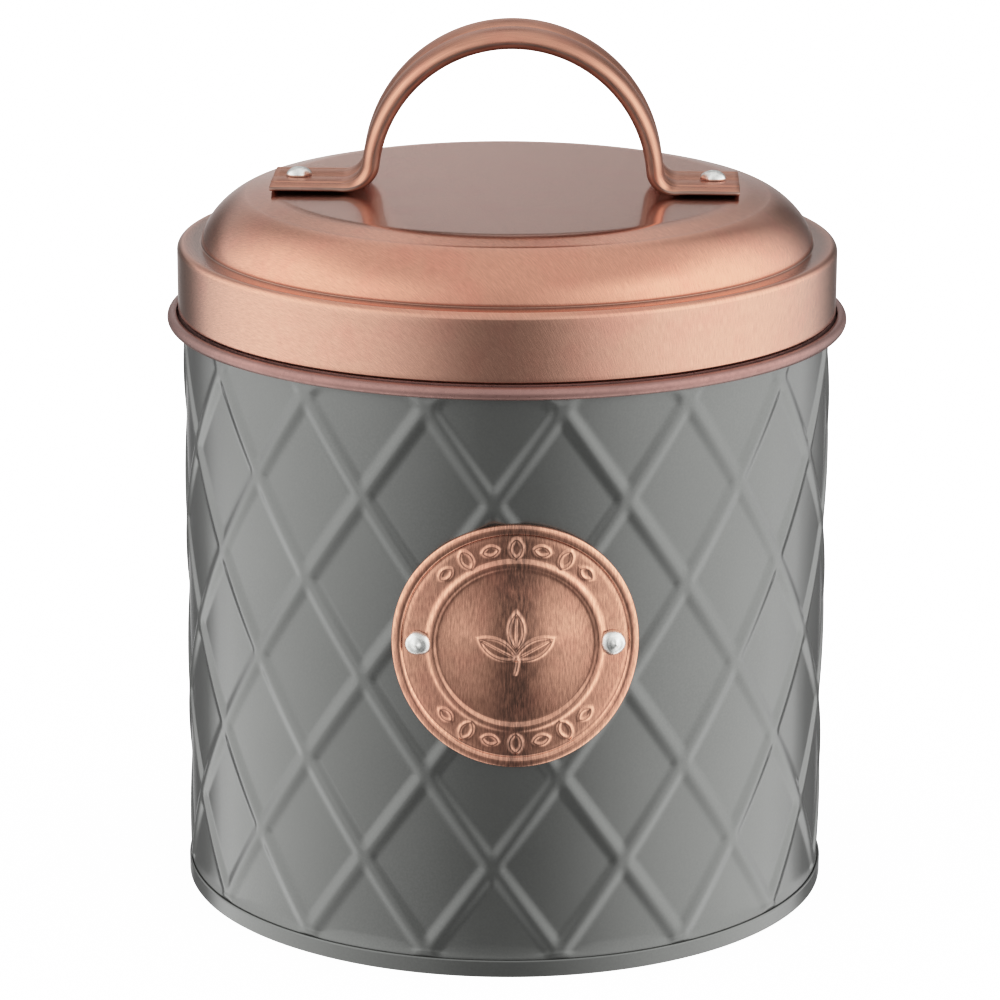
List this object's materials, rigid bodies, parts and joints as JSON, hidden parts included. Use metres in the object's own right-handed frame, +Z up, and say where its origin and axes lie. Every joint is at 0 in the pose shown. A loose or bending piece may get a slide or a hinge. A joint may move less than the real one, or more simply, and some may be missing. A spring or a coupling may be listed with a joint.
{
  "type": "tea caddy",
  "caption": "Round tin canister with a diamond-embossed grey wall, riveted round badge and a slip-on domed copper lid with an arched strap handle.",
  "frame": {"origin": "centre of the base, on the surface the canister stands on", "axes": "+Z up through the lid and handle; -Y is the front, where the badge is; +X is to the right seen from the front"},
  "size_m": [0.12, 0.12, 0.1546],
  "materials": {
    "grey_paint": "gloss enamel",
    "copper_lid": "brushed copper plating, lacquered",
    "copper_handle": "copper plating, satin",
    "copper_badge": "brushed copper plating",
    "rivet": "bare, as pressed"
  },
  "bodies": {
    "canister": {"body_wall": "grey_paint", "base_plate": "grey_paint", "badge": "copper_badge", "badge_rivet_left": "rivet", "badge_rivet_right": "rivet"},
    "lid": {"lid_shell": "copper_lid", "handle": "copper_handle", "handle_rivet_left": "rivet", "handle_rivet_right": "rivet"}
  },
  "joints": [
    {"name": "lid_lift", "type": "slide", "parent": "canister", "child": "lid", "axis": [0, 0, 1], "range_m": [0, 0.05]}
  ]
}
